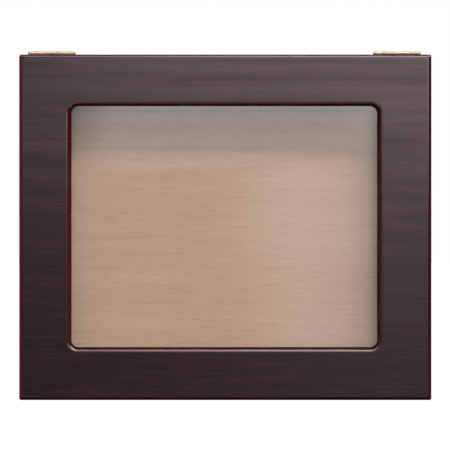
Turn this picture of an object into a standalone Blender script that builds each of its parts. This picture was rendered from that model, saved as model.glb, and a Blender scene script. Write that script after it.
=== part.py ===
"""Jersey display frame: a shallow wall case with a top-hinged, glazed door.

Frame: metres, +Z up, the front faces -Y. The origin lies on the wall plane (Y = 0), at the middle
of the top board's back edge. The door turns about the brass pins along the top of the case.
"""

import math

import bmesh
import bpy
from mathutils import Matrix, Vector

# Driving dimensions of the case
WIDTH = 0.610
BOX_HEIGHT = 0.5120
BOX_DEPTH = 0.0316
BOARD = 0.016
SEAM = 0.0012
DOOR_HEIGHT = 0.5112
DOOR_THICKNESS = 0.018

# Play left between neighbours
PLAY = 0.0003
HALF_PLAY = 0.00015

# Door panel: one board with a routed window, set a little to the left and up
WINDOW_WIDTH = 0.4536
WINDOW_HEIGHT = 0.3575
WINDOW_CORNER = 0.011
WINDOW_X = -0.0014
WINDOW_RISE = 0.0011
LIP_ROUND = 0.0065
OUTER_ROUND = 0.0057
OUTER_CORNER = 0.003
LIP_DEPTH = 0.010
RABBET_MARGIN = 0.007
CORNER_STEPS = 6
ROUND_STEPS = 4

# Glazing
PANE_THICKNESS = 0.003
STRIP_WIDTH = 0.0062
STRIP_THICKNESS = 0.0044
BRAD_LENGTH = 0.014
BRAD_RADIUS = 0.0006
BRAD_HEAD_RADIUS = 0.0011
BRAD_HEAD = 0.0005
BRAD_SINK = 0.0003

# Back panel, held in a groove all round
PANEL_THICKNESS = 0.004
PANEL_SETBACK = 0.0074
GROOVE_DEPTH = 0.004

# Hinges, the pair set a little to the left
HINGE_LENGTH = 0.069
HINGE_X = 0.2568
HINGE_SHIFT = -0.0012
KNUCKLES = 5
KNUCKLE_RADIUS = 0.003
KNUCKLE_BORE = 0.0017
PIN_RADIUS = 0.00145
PIN_HEAD_RADIUS = 0.0022
PIN_HEAD = 0.0008
LEAF_THICKNESS = 0.0012
LEAF_REACH = 0.0125
LEAF_SPLIT = 0.0001
HINGE_SCREW_SPACING = 0.022
HINGE_SCREW_DROP = 0.0066
ROUND_SEGMENTS = 20

# Countersunk screw, used for hinges, strikes and hangers
SCREW_HEAD_RADIUS = 0.0026
SCREW_HEAD = 0.0014
SCREW_SHANK_RADIUS = 0.00125
SCREW_LENGTH = 0.0100
SCREW_POINT = 0.0025
SCREW_SEGMENTS = 12
CROSS_WIDTH = 0.0006
CROSS_SPAN = 0.0026
CROSS_DEPTH = 0.0008

# Magnetic catch and bumpers along the bottom of the seam
MAGNET_X = 0.180
MAGNET_RADIUS = 0.005
MAGNET_HEIGHT = 0.003
STRIKE_RADIUS = 0.006
STRIKE_HEIGHT = 0.001
CATCH_PROUD = 0.0002
BUMPER_X = 0.283
BUMPER_RADIUS = 0.004
BUMPER_GAP = 0.0002

# Keyhole hangers in the back edges of the side boards
HANGER_DROP = 0.060
HANGER_WIDTH = 0.012
HANGER_LENGTH = 0.046
HANGER_THICKNESS = 0.0016
KEYHOLE_ENTRY_RADIUS = 0.0046
KEYHOLE_SLOT_RADIUS = 0.0024
KEYHOLE_TRAVEL = 0.010
HANGER_SCREW_OFFSET = 0.0182
HANGER_CAVITY_DEPTH = 0.0058
HANGER_CAVITY_WIDTH = 0.0096

# Places that follow from the dimensions
TOP_Z = BOARD / 2
BOTTOM_Z = TOP_Z - BOX_HEIGHT
MIDDLE_Z = TOP_Z - DOOR_HEIGHT / 2
WINDOW_Z = MIDDLE_Z + WINDOW_RISE
BOX_FRONT_Y = -BOX_DEPTH
DOOR_BACK_Y = BOX_FRONT_Y - SEAM
DOOR_FRONT_Y = DOOR_BACK_Y - DOOR_THICKNESS
PANE_FRONT_Y = DOOR_FRONT_Y + LIP_DEPTH + HALF_PLAY
STRIP_FRONT_Y = PANE_FRONT_Y + PANE_THICKNESS + HALF_PLAY
AXIS_Y = BOX_FRONT_Y - SEAM / 2
AXIS_Z = TOP_Z + KNUCKLE_RADIUS + PLAY
BOTTOM_BOARD_Z = BOTTOM_Z + BOARD / 2
SIDE_BOARD_X = WIDTH / 2 - BOARD / 2
HANGER_Z = TOP_Z - HANGER_DROP

OBJECT_COLLECTION = "jersey_display_frame"
CUTTER_COLLECTION = "cutters"
SIDES = (("left", -1), ("right", 1))


# ---------------------------------------------------------------- scene and materials


def clear_scene():
    for obj in list(bpy.data.objects):
        bpy.data.objects.remove(obj, do_unlink=True)


def new_collection(name):
    collection = bpy.data.collections.new(name)
    bpy.context.scene.collection.children.link(collection)
    return collection


def new_material(name, colour, roughness, metallic=0.0, transmission=0.0):
    material = bpy.data.materials.new(name)
    material.use_nodes = True
    shader = material.node_tree.nodes["Principled BSDF"]
    shader.inputs["Base Color"].default_value = (*colour, 1.0)
    shader.inputs["Roughness"].default_value = roughness
    shader.inputs["Metallic"].default_value = metallic
    shader.inputs["Transmission Weight"].default_value = transmission
    return material


def make_materials():
    return {
        "veneer": new_material("mahogany_veneer", (0.045, 0.016, 0.014), 0.35),
        "bare_wood": new_material("back_panel_wood", (0.46, 0.29, 0.20), 0.6),
        "acrylic": new_material("clear_acrylic", (0.95, 0.96, 0.96), 0.05, 0.0, 1.0),
        "strip": new_material("stained_strip", (0.08, 0.02, 0.015), 0.45),
        "brass": new_material("brass", (0.72, 0.54, 0.22), 0.3, 1.0),
        "zinc": new_material("zinc_plate", (0.62, 0.63, 0.64), 0.35, 1.0),
        "nickel": new_material("nickel", (0.70, 0.69, 0.66), 0.2, 1.0),
        "felt": new_material("felt", (0.03, 0.03, 0.03), 0.95),
    }


# ---------------------------------------------------------------- shape helpers


def add_box(bm, low, high):
    """A box between two corners, added to bm."""
    low, high = Vector(low), Vector(high)
    made = bmesh.ops.create_cube(bm, size=1.0)["verts"]
    bmesh.ops.scale(bm, vec=high - low, verts=made)
    bmesh.ops.translate(bm, vec=(low + high) / 2, verts=made)


def add_rod(bm, start, end, radius, end_radius=None, segments=SCREW_SEGMENTS):
    """A cylinder, or a cone where end_radius differs, from one point to another."""
    start, end = Vector(start), Vector(end)
    along = end - start
    place = Matrix.Translation((start + end) / 2) @ along.to_track_quat("Z", "Y").to_matrix().to_4x4()
    bmesh.ops.create_cone(
        bm,
        cap_ends=True,
        segments=segments,
        radius1=radius,
        radius2=radius if end_radius is None else end_radius,
        depth=along.length,
        matrix=place,
    )


def object_from(name, bm, collection, material=None):
    mesh = bpy.data.meshes.new(name)
    bm.to_mesh(mesh)
    bm.free()
    return object_with(name, mesh, collection, material)


def object_with(name, mesh, collection, material=None):
    obj = bpy.data.objects.new(name, mesh)
    collection.objects.link(obj)
    if material is not None and not mesh.materials:
        mesh.materials.append(material)
    return obj


def as_cutter(obj):
    obj.hide_render = True
    obj.display_type = "WIRE"
    return obj


def cutter(name, boxes=(), rods=()):
    """One hidden cutter made of boxes (low, high) and rods (start, end, radius[, end_radius])."""
    bm = bmesh.new()
    for low, high in boxes:
        add_box(bm, low, high)
    for rod in rods:
        add_rod(bm, *rod)
    return as_cutter(object_from(name, bm, bpy.data.collections[CUTTER_COLLECTION]))


def combine(obj, other, operation="DIFFERENCE"):
    modifier = obj.modifiers.new(operation.lower() + "_" + other.name, "BOOLEAN")
    modifier.operation = operation
    modifier.object = other
    return obj


def arc(centre, radius, start, turn, steps):
    """Points (x, z) along an arc about centre, from the angle start through turn."""
    angles = [start + turn * step / steps for step in range(steps + 1)]
    return [(centre[0] + radius * math.cos(angle), centre[1] + radius * math.sin(angle)) for angle in angles]


def rounded_rectangle(width, height, radius, centre=(0.0, 0.0), steps=CORNER_STEPS):
    """Counter-clockwise points (x, z) of a rectangle whose corners are arcs."""
    points = []
    for turn, (sign_x, sign_z) in enumerate(((1, 1), (-1, 1), (-1, -1), (1, -1))):
        corner_x = centre[0] + sign_x * (width / 2 - radius)
        corner_z = centre[1] + sign_z * (height / 2 - radius)
        if radius == 0:
            points.append((corner_x, corner_z))
            continue
        points += arc((corner_x, corner_z), radius, math.pi / 2 * turn, math.pi / 2, steps)
    return points


def slab(name, outlines, front_y, back_y, collection, material=None):
    """A flat piece: 2D outlines in the X-Z plane, the first outside and the others holes, made solid in Y."""
    curve = bpy.data.curves.new(name, "CURVE")
    curve.dimensions = "2D"
    curve.fill_mode = "BOTH"
    curve.extrude = (back_y - front_y) / 2
    for outline in outlines:
        spline = curve.splines.new("POLY")
        spline.points.add(len(outline) - 1)
        for point, (x, z) in zip(spline.points, outline):
            point.co = (x, z, 0.0, 1.0)
        spline.use_cyclic_u = True
    source = bpy.data.objects.new(name + "_outline", curve)
    collection.objects.link(source)
    source.rotation_euler = (math.pi / 2, 0.0, 0.0)
    source.location = (0.0, (front_y + back_y) / 2, 0.0)
    bpy.context.view_layer.update()
    evaluated = source.evaluated_get(bpy.context.evaluated_depsgraph_get())
    mesh = bpy.data.meshes.new_from_object(evaluated)
    mesh.transform(source.matrix_world)
    bpy.data.objects.remove(source)
    bm = bmesh.new()
    bm.from_mesh(mesh)
    bmesh.ops.remove_doubles(bm, verts=bm.verts, dist=1e-6)
    bmesh.ops.dissolve_limit(bm, angle_limit=math.radians(0.5), verts=bm.verts, edges=bm.edges)
    bmesh.ops.recalc_face_normals(bm, faces=bm.faces)
    return object_from(name, bm, collection, material)


def turned_mesh(name, profile, segments):
    """The mesh of a solid turned about Z, from (radius, z) points that run from top to bottom."""
    mesh = bpy.data.meshes.new(name + "_profile")
    edges = [(i, i + 1) for i in range(len(profile) - 1)]
    mesh.from_pydata([(radius, 0.0, z) for radius, z in profile], edges, [])
    source = bpy.data.objects.new(name + "_profile", mesh)
    bpy.data.collections[CUTTER_COLLECTION].objects.link(source)
    screw = source.modifiers.new("turn", "SCREW")
    screw.steps = screw.render_steps = segments
    screw.use_merge_vertices = True
    screw.merge_threshold = 1e-5
    bpy.context.view_layer.update()
    evaluated = source.evaluated_get(bpy.context.evaluated_depsgraph_get())
    made = bpy.data.meshes.new_from_object(evaluated)
    made.name = name
    bpy.data.objects.remove(source)
    return made


def aim(obj, place, direction):
    """Puts obj's origin at place, with its local +Z along direction."""
    turn = Vector(direction).to_track_quat("Z", "Y").to_matrix().to_4x4()
    obj.matrix_world = Matrix.Translation(place) @ turn
    return obj


def smooth(obj):
    obj.data.shade_smooth()
    obj.data.set_sharp_from_angle(angle=math.radians(35))
    return obj


# ---------------------------------------------------------------- places shared by pieces


def hinge_screw_places():
    """(side, number, x) of each hinge screw, three to a leaf."""
    for side, sign in SIDES:
        for number in (1, 2, 3):
            yield side, number, HINGE_SHIFT + sign * HINGE_X + (number - 2) * HINGE_SCREW_SPACING


def strip_brads():
    """(strip, head place, outward way) of each brad: three in a long strip, two in a short one."""
    half_x = WINDOW_WIDTH / 2 + RABBET_MARGIN - PLAY - STRIP_WIDTH
    half_z = WINDOW_HEIGHT / 2 + RABBET_MARGIN - PLAY - STRIP_WIDTH
    y = STRIP_FRONT_Y + STRIP_THICKNESS / 2
    for strip, sign in (("top", 1), ("bottom", -1)):
        for x in (-WINDOW_WIDTH / 3, 0.0, WINDOW_WIDTH / 3):
            yield strip, (WINDOW_X + x, y, WINDOW_Z + sign * half_z), (0, 0, sign)
    for strip, sign in (("left", -1), ("right", 1)):
        for z in (-WINDOW_HEIGHT / 4, WINDOW_HEIGHT / 4):
            yield strip, (WINDOW_X + sign * half_x, y, WINDOW_Z + z), (sign, 0, 0)


def brad_hole(place, direction):
    """The drilled way of one brad, a little wider and longer than its shank."""
    outward = Vector(direction)
    start = Vector(place) - outward * PLAY
    return start, Vector(place) + outward * (BRAD_LENGTH + PLAY), BRAD_RADIUS + HALF_PLAY


def screw_hole(place, direction):
    """The pilot hole of one screw whose head is flush at place and whose point lies along direction."""
    inward = Vector(direction)
    return Vector(place), Vector(place) + inward * (SCREW_LENGTH + PLAY), SCREW_SHANK_RADIUS + HALF_PLAY


def countersink(place, direction, thickness):
    """The cone and the clearance hole for a screw head flush at place, through a plate of this thickness."""
    outward = -Vector(direction)
    spare = HALF_PLAY * 2
    slope = (SCREW_HEAD_RADIUS - SCREW_SHANK_RADIUS) / SCREW_HEAD
    wide = SCREW_HEAD_RADIUS + HALF_PLAY
    cone = (
        Vector(place) + outward * spare,
        Vector(place) - outward * SCREW_HEAD,
        wide + slope * spare,
        SCREW_SHANK_RADIUS + HALF_PLAY,
    )
    hole = (Vector(place), Vector(place) - outward * (thickness + spare), SCREW_SHANK_RADIUS + HALF_PLAY)
    return cone, hole


# ---------------------------------------------------------------- case


def make_boards(collection, material):
    """The four mitred boards, each grooved for the back panel."""
    half = WIDTH / 2
    inner = half - BOARD
    mitre = HALF_PLAY
    top, bottom = TOP_Z, BOTTOM_Z
    # Each outline runs along the outer edge and back along the inner one, clear of the mitre line
    outlines = {
        "box_top": [
            (half - mitre, top),
            (-half + mitre, top),
            (-inner + mitre, top - BOARD),
            (inner - mitre, top - BOARD),
        ],
        "box_bottom": [
            (-half + mitre, bottom),
            (half - mitre, bottom),
            (inner - mitre, bottom + BOARD),
            (-inner + mitre, bottom + BOARD),
        ],
        "box_left": [
            (-half, top - mitre),
            (-half, bottom + mitre),
            (-inner, bottom + BOARD + mitre),
            (-inner, top - BOARD - mitre),
        ],
        "box_right": [
            (half, bottom + mitre),
            (half, top - mitre),
            (inner, top - BOARD - mitre),
            (inner, bottom + BOARD + mitre),
        ],
    }
    reach = inner + GROOVE_DEPTH
    groove = cutter(
        "groove",
        boxes=[
            (
                (-reach, -PANEL_SETBACK - PANEL_THICKNESS - HALF_PLAY, bottom + BOARD - GROOVE_DEPTH),
                (reach, -PANEL_SETBACK + HALF_PLAY, top - BOARD + GROOVE_DEPTH),
            )
        ],
    )
    boards = {}
    for name, outline in outlines.items():
        boards[name] = slab(name, [outline], BOX_FRONT_Y, 0.0, collection, material)
        combine(boards[name], groove)
    return boards


def cut_hinge_seats(board, face_y, into_y, name):
    """Seats and pilot holes for both hinges. into_y is the direction from face_y into the board, +1 or -1."""
    depth = LEAF_THICKNESS + LEAF_SPLIT + PLAY - SEAM / 2
    seats, holes = [], []
    for side, sign in SIDES:
        low_x = HINGE_SHIFT + sign * HINGE_X - HINGE_LENGTH / 2 - PLAY
        high_x = HINGE_SHIFT + sign * HINGE_X + HINGE_LENGTH / 2 + PLAY
        low_y, high_y = sorted((face_y - into_y * PLAY, face_y + into_y * depth))
        seats.append(((low_x, low_y, TOP_Z - LEAF_REACH - PLAY), (high_x, high_y, TOP_Z + PLAY)))
    for side, number, x in hinge_screw_places():
        place = (x, AXIS_Y + into_y * LEAF_SPLIT, TOP_Z - HINGE_SCREW_DROP)
        holes.append(screw_hole(place, (0, into_y, 0)))
    combine(board, cutter(name + "_hinge_seats", boxes=seats))
    combine(board, cutter(name + "_hinge_pilots", rods=holes))


def cut_magnet_pockets(board):
    pockets = [
        (
            (sign * MAGNET_X, BOX_FRONT_Y - PLAY, BOTTOM_BOARD_Z),
            (sign * MAGNET_X, BOX_FRONT_Y - CATCH_PROUD + MAGNET_HEIGHT + PLAY, BOTTOM_BOARD_Z),
            MAGNET_RADIUS + PLAY,
            MAGNET_RADIUS + PLAY,
            ROUND_SEGMENTS,
        )
        for side, sign in SIDES
    ]
    combine(board, cutter("magnet_pockets", rods=pockets))


def hanger_screw_places(sign):
    """Places of the two screws of one hanger plate."""
    offsets = (-HANGER_SCREW_OFFSET, HANGER_SCREW_OFFSET)
    return [(sign * SIDE_BOARD_X, 0.0, HANGER_Z + offset) for offset in offsets]


def cut_hanger_pocket(board, side, sign):
    """The plate's seat, the room behind its keyhole, and the screws' pilot holes."""
    cutters = bpy.data.collections[CUTTER_COLLECTION]
    centre = (sign * SIDE_BOARD_X, HANGER_Z)
    outline = rounded_rectangle(
        HANGER_WIDTH + 2 * PLAY, HANGER_LENGTH + 2 * PLAY, HANGER_WIDTH / 2 + PLAY - 1e-5, centre
    )
    seat = slab("hanger_seat_" + side, [outline], -HANGER_THICKNESS - PLAY, PLAY, cutters)
    combine(board, as_cutter(seat))
    half = HANGER_CAVITY_WIDTH / 2
    room = (
        (centre[0] - half, -HANGER_CAVITY_DEPTH, HANGER_Z - KEYHOLE_TRAVEL / 2 - half),
        (centre[0] + half, -HANGER_THICKNESS, HANGER_Z + KEYHOLE_TRAVEL / 2 + half),
    )
    combine(board, cutter("hanger_room_" + side, boxes=[room]))
    pilots = [screw_hole(place, (0, -1, 0)) for place in hanger_screw_places(sign)]
    combine(board, cutter("hanger_pilots_" + side, rods=pilots))


def make_back_panel(collection, material):
    half = WIDTH / 2 - BOARD + GROOVE_DEPTH - PLAY
    bm = bmesh.new()
    add_box(
        bm,
        (-half, -PANEL_SETBACK - PANEL_THICKNESS, BOTTOM_Z + BOARD - GROOVE_DEPTH + PLAY),
        (half, -PANEL_SETBACK, TOP_Z - BOARD + GROOVE_DEPTH - PLAY),
    )
    return object_from("back_panel", bm, collection, material)


def make_magnets_and_bumpers(collection, materials):
    for side, sign in SIDES:
        bm = bmesh.new()
        front = BOX_FRONT_Y - CATCH_PROUD
        add_rod(
            bm,
            (sign * MAGNET_X, front, BOTTOM_BOARD_Z),
            (sign * MAGNET_X, front + MAGNET_HEIGHT, BOTTOM_BOARD_Z),
            MAGNET_RADIUS,
            segments=ROUND_SEGMENTS,
        )
        smooth(object_from("magnet_" + side, bm, collection, materials["nickel"]))
        bm = bmesh.new()
        add_rod(
            bm,
            (sign * BUMPER_X, DOOR_BACK_Y + BUMPER_GAP, BOTTOM_BOARD_Z),
            (sign * BUMPER_X, BOX_FRONT_Y - BUMPER_GAP, BOTTOM_BOARD_Z),
            BUMPER_RADIUS,
            segments=ROUND_SEGMENTS,
        )
        smooth(object_from("bumper_" + side, bm, collection, materials["felt"]))


def keyhole_outline(centre, steps=CORNER_STEPS):
    """A round entry below and a narrow slot above it, as one outline."""
    entry = (centre[0], centre[1] - KEYHOLE_TRAVEL / 2)
    slot = (centre[0], centre[1] + KEYHOLE_TRAVEL / 2)
    meet = math.asin(KEYHOLE_SLOT_RADIUS / KEYHOLE_ENTRY_RADIUS)
    around = arc(entry, KEYHOLE_ENTRY_RADIUS, math.pi / 2 + meet, 2 * (math.pi - meet), 2 * steps)
    return around + arc(slot, KEYHOLE_SLOT_RADIUS, 0.0, math.pi, steps)


def make_hanger(side, sign, collection, material):
    centre = (sign * SIDE_BOARD_X, HANGER_Z)
    outer = rounded_rectangle(HANGER_WIDTH, HANGER_LENGTH, HANGER_WIDTH / 2 - 1e-5, centre)
    outlines = [outer, keyhole_outline(centre)]
    plate = slab("hanger_plate_" + side, outlines, -HANGER_THICKNESS, 0.0, collection, material)
    sinks = [countersink(place, (0, -1, 0), HANGER_THICKNESS) for place in hanger_screw_places(sign)]
    cones, holes = zip(*sinks)
    combine(plate, cutter("hanger_cones_" + side, rods=cones))
    combine(plate, cutter("hanger_holes_" + side, rods=holes))
    return plate


# ---------------------------------------------------------------- door


def weight_door_edges(obj):
    """Bevel weights, as shares of the lip's round: window edge, outer front edge and outer corners."""
    mesh = obj.data
    weights = mesh.attributes.new("bevel_weight_edge", "FLOAT", "EDGE")
    half_x, top, bottom = WIDTH / 2, TOP_Z, TOP_Z - DOOR_HEIGHT

    def outside(point):
        return abs(abs(point.x) - half_x) < 1e-5 or abs(point.z - top) < 1e-5 or abs(point.z - bottom) < 1e-5

    for edge in mesh.edges:
        a, b = (mesh.vertices[i].co for i in edge.vertices)
        in_front = max(a.y, b.y) < DOOR_FRONT_Y + 1e-5
        across = abs(a.y - b.y) > DOOR_THICKNESS / 2
        on_window = not outside(a) and not outside(b)
        along_edge = outside(a) and outside(b) and (abs(a.x - b.x) < 1e-5 or abs(a.z - b.z) < 1e-5)
        if in_front and on_window:
            weights.data[edge.index].value = 1.0
        elif in_front and along_edge:
            weights.data[edge.index].value = OUTER_ROUND / LIP_ROUND
        elif across and outside(a):
            weights.data[edge.index].value = OUTER_CORNER / LIP_ROUND


def make_door_panel(collection, material):
    """One board with a routed window: rounded lip in front, rabbet for the pane behind."""
    centre = (WINDOW_X, WINDOW_Z)
    outer = rounded_rectangle(WIDTH, DOOR_HEIGHT, 0, (0.0, MIDDLE_Z))
    window = rounded_rectangle(WINDOW_WIDTH, WINDOW_HEIGHT, WINDOW_CORNER, centre)
    panel = slab("door_panel", [outer, window], DOOR_FRONT_Y, DOOR_BACK_Y, collection, material)
    weight_door_edges(panel)
    rounds = panel.modifiers.new("rounds", "BEVEL")
    rounds.limit_method = "WEIGHT"
    rounds.width = LIP_ROUND
    rounds.segments = ROUND_STEPS
    cutters = bpy.data.collections[CUTTER_COLLECTION]
    rabbet_outline = rounded_rectangle(
        WINDOW_WIDTH + 2 * RABBET_MARGIN,
        WINDOW_HEIGHT + 2 * RABBET_MARGIN,
        WINDOW_CORNER + RABBET_MARGIN,
        centre,
    )
    rabbet = slab("rabbet", [rabbet_outline], DOOR_FRONT_Y + LIP_DEPTH, DOOR_BACK_Y + PLAY, cutters)
    combine(panel, as_cutter(rabbet))
    cut_hinge_seats(panel, DOOR_BACK_Y, -1, "door")
    brads = [brad_hole(place, direction) for strip, place, direction in strip_brads()]
    combine(panel, cutter("door_brad_holes", rods=brads))
    recesses = [
        (
            (sign * MAGNET_X, DOOR_BACK_Y + PLAY, BOTTOM_BOARD_Z),
            (sign * MAGNET_X, DOOR_BACK_Y + CATCH_PROUD - STRIKE_HEIGHT - PLAY, BOTTOM_BOARD_Z),
            STRIKE_RADIUS + PLAY,
            STRIKE_RADIUS + PLAY,
            ROUND_SEGMENTS,
        )
        for side, sign in SIDES
    ]
    combine(panel, cutter("strike_recesses", rods=recesses))
    pilots = [screw_hole(strike_face(sign), (0, -1, 0)) for side, sign in SIDES]
    combine(panel, cutter("strike_pilots", rods=pilots))
    return smooth(panel)


def strike_face(sign):
    return (sign * MAGNET_X, DOOR_BACK_Y + CATCH_PROUD, BOTTOM_BOARD_Z)


def make_pane(collection, material):
    margin = 2 * (RABBET_MARGIN - PLAY)
    outline = rounded_rectangle(
        WINDOW_WIDTH + margin,
        WINDOW_HEIGHT + margin,
        WINDOW_CORNER + RABBET_MARGIN - PLAY,
        (WINDOW_X, WINDOW_Z),
    )
    return slab("acrylic_pane", [outline], PANE_FRONT_Y, PANE_FRONT_Y + PANE_THICKNESS, collection, material)


def make_strips(collection, material):
    """Four wooden strips that hold the pane, each ending short of the rabbet's round corners."""
    corner = WINDOW_CORNER + RABBET_MARGIN
    outer_x = WINDOW_WIDTH / 2 + RABBET_MARGIN - PLAY
    outer_z = WINDOW_HEIGHT / 2 + RABBET_MARGIN - PLAY
    reach_x = WINDOW_WIDTH / 2 + RABBET_MARGIN - corner
    reach_z = WINDOW_HEIGHT / 2 + RABBET_MARGIN - corner
    corners = {
        "top": ((-reach_x, outer_z - STRIP_WIDTH), (reach_x, outer_z)),
        "bottom": ((-reach_x, -outer_z), (reach_x, -outer_z + STRIP_WIDTH)),
        "left": ((-outer_x, -reach_z), (-outer_x + STRIP_WIDTH, reach_z)),
        "right": ((outer_x - STRIP_WIDTH, -reach_z), (outer_x, reach_z)),
    }
    for name, ((low_x, low_z), (high_x, high_z)) in corners.items():
        bm = bmesh.new()
        add_box(
            bm,
            (WINDOW_X + low_x, STRIP_FRONT_Y, WINDOW_Z + low_z),
            (WINDOW_X + high_x, STRIP_FRONT_Y + STRIP_THICKNESS, WINDOW_Z + high_z),
        )
        strip = object_from("glazing_strip_" + name, bm, collection, material)
        own_brads = [(Vector(place), Vector(way)) for owner, place, way in strip_brads() if owner == name]
        holes = [brad_hole(place, way) for place, way in own_brads]
        sinks = [
            (place - way * PLAY, place + way * (BRAD_SINK + BRAD_HEAD + PLAY), BRAD_HEAD_RADIUS + HALF_PLAY)
            for place, way in own_brads
        ]
        combine(strip, cutter("strip_brad_holes_" + name, rods=holes))
        combine(strip, cutter("strip_brad_sinks_" + name, rods=sinks))


def make_brads(collection, material):
    profile = [
        (0.0, -BRAD_SINK),
        (BRAD_HEAD_RADIUS, -BRAD_SINK),
        (BRAD_HEAD_RADIUS, -BRAD_SINK - BRAD_HEAD),
        (BRAD_RADIUS, -BRAD_SINK - BRAD_HEAD),
        (BRAD_RADIUS, -BRAD_LENGTH + 2 * BRAD_RADIUS),
        (0.0, -BRAD_LENGTH),
    ]
    mesh = turned_mesh("brad", profile, SCREW_SEGMENTS)
    for number, (strip, place, direction) in enumerate(strip_brads(), start=1):
        brad = object_with(f"glazing_brad_{number:02d}", mesh, collection, material)
        smooth(aim(brad, place, -Vector(direction)))


def make_strikes(collection, material):
    for side, sign in SIDES:
        face = Vector(strike_face(sign))
        bm = bmesh.new()
        add_rod(bm, face - Vector((0, STRIKE_HEIGHT, 0)), face, STRIKE_RADIUS, segments=ROUND_SEGMENTS)
        strike = object_from("strike_" + side, bm, collection, material)
        cone, hole = countersink(face, (0, -1, 0), STRIKE_HEIGHT)
        combine(strike, cutter("strike_cone_" + side, rods=[cone]))
        combine(smooth(strike), cutter("strike_hole_" + side, rods=[hole]))


# ---------------------------------------------------------------- hinges and screws


def make_leaf(name, centre_x, into_y, own_knuckles, collection, material):
    """One leaf: a plate with tabs that carry its own knuckles. into_y: +1 in the case, -1 in the door."""
    pitch = HINGE_LENGTH / KNUCKLES
    inner_y = AXIS_Y + into_y * LEAF_SPLIT
    outer_y = inner_y + into_y * LEAF_THICKNESS
    low_y, high_y = sorted((inner_y, outer_y))
    low_x = centre_x - HINGE_LENGTH / 2
    bm = bmesh.new()
    add_box(
        bm,
        (low_x, low_y, TOP_Z - LEAF_REACH),
        (low_x + HINGE_LENGTH, high_y, TOP_Z - PLAY),
    )
    leaf = object_from(name, bm, collection, material)
    axis = Vector((0, AXIS_Y, AXIS_Z))
    for knuckle in own_knuckles:
        start_x = low_x + knuckle * pitch + (HALF_PLAY if knuckle else 0.0)
        end_x = low_x + (knuckle + 1) * pitch - (HALF_PLAY if knuckle < KNUCKLES - 1 else 0.0)
        start, end = axis + Vector((start_x, 0, 0)), axis + Vector((end_x, 0, 0))
        tab_box = ((start_x, low_y, TOP_Z - 2 * PLAY), (end_x, high_y, AXIS_Z))
        tab = cutter(f"{name}_tab_{knuckle}", boxes=[tab_box])
        barrel = cutter(
            f"{name}_barrel_{knuckle}", rods=[(start, end, KNUCKLE_RADIUS, KNUCKLE_RADIUS, ROUND_SEGMENTS)]
        )
        combine(leaf, tab, "UNION")
        combine(leaf, barrel, "UNION")
    bore = [
        (
            axis + Vector((low_x - PLAY, 0, 0)),
            axis + Vector((low_x + HINGE_LENGTH + PLAY, 0, 0)),
            KNUCKLE_BORE,
            KNUCKLE_BORE,
            ROUND_SEGMENTS,
        )
    ]
    combine(leaf, cutter(name + "_bore", rods=bore))
    screws_x = [centre_x + offset * HINGE_SCREW_SPACING for offset in (-1, 0, 1)]
    sinks = [
        countersink((x, inner_y, TOP_Z - HINGE_SCREW_DROP), (0, into_y, 0), LEAF_THICKNESS) for x in screws_x
    ]
    cones, holes = zip(*sinks)
    combine(leaf, cutter(name + "_cones", rods=cones))
    combine(leaf, cutter(name + "_holes", rods=holes))
    return smooth(leaf)


def make_pin(name, centre_x, collection, material):
    """A pin with a low round head at each end."""
    end = HINGE_LENGTH / 2 + HALF_PLAY
    profile = [
        (0.0, end + PIN_HEAD),
        (PIN_HEAD_RADIUS * 0.7, end + PIN_HEAD),
        (PIN_HEAD_RADIUS, end + PIN_HEAD * 0.5),
        (PIN_HEAD_RADIUS, end),
        (PIN_RADIUS, end),
    ]
    profile += [(radius, -z) for radius, z in reversed(profile)]
    pin = object_with(name, turned_mesh(name, profile, ROUND_SEGMENTS), collection, material)
    return smooth(aim(pin, (centre_x, AXIS_Y, AXIS_Z), (1, 0, 0)))


def screw_mesh(name, material):
    """A countersunk screw: flat head at local Z = 0, point below, cross recess in the head."""
    profile = [
        (0.0, 0.0),
        (SCREW_HEAD_RADIUS, 0.0),
        (SCREW_SHANK_RADIUS, -SCREW_HEAD),
        (SCREW_SHANK_RADIUS, -SCREW_LENGTH + SCREW_POINT),
        (0.0, -SCREW_LENGTH),
    ]
    cutters = bpy.data.collections[CUTTER_COLLECTION]
    blank = object_with(name, turned_mesh(name, profile, SCREW_SEGMENTS), cutters)
    half, span = CROSS_WIDTH / 2, CROSS_SPAN / 2
    for label, reach_x, reach_y in (("a", span, half), ("b", half, span)):
        slot_box = ((-reach_x, -reach_y, -CROSS_DEPTH), (reach_x, reach_y, PLAY))
        combine(blank, cutter(f"{name}_slot_{label}", boxes=[slot_box]))
    bpy.context.view_layer.update()
    mesh = bpy.data.meshes.new_from_object(blank.evaluated_get(bpy.context.evaluated_depsgraph_get()))
    bpy.data.objects.remove(blank)
    mesh.name = name
    mesh.materials.clear()
    mesh.materials.append(material)
    return mesh


def put_screw(name, mesh, place, direction, collection):
    """A screw with its head flush at place, driven along direction."""
    return smooth(aim(object_with(name, mesh, collection), place, -Vector(direction)))


def make_hinges(collection, materials, brass_screw):
    for side, sign in SIDES:
        centre_x = HINGE_SHIFT + sign * HINGE_X
        make_leaf(f"hinge_{side}_case_leaf", centre_x, 1, (0, 2, 4), collection, materials["brass"])
        make_leaf(f"hinge_{side}_door_leaf", centre_x, -1, (1, 3), collection, materials["brass"])
        make_pin(f"hinge_{side}_pin", centre_x, collection, materials["brass"])
    for side, number, x in hinge_screw_places():
        z = TOP_Z - HINGE_SCREW_DROP
        for owner, into_y in (("case", 1), ("door", -1)):
            place = (x, AXIS_Y + into_y * LEAF_SPLIT, z)
            put_screw(f"hinge_{side}_{owner}_screw_{number}", brass_screw, place, (0, into_y, 0), collection)


# ---------------------------------------------------------------- assembly


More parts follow.
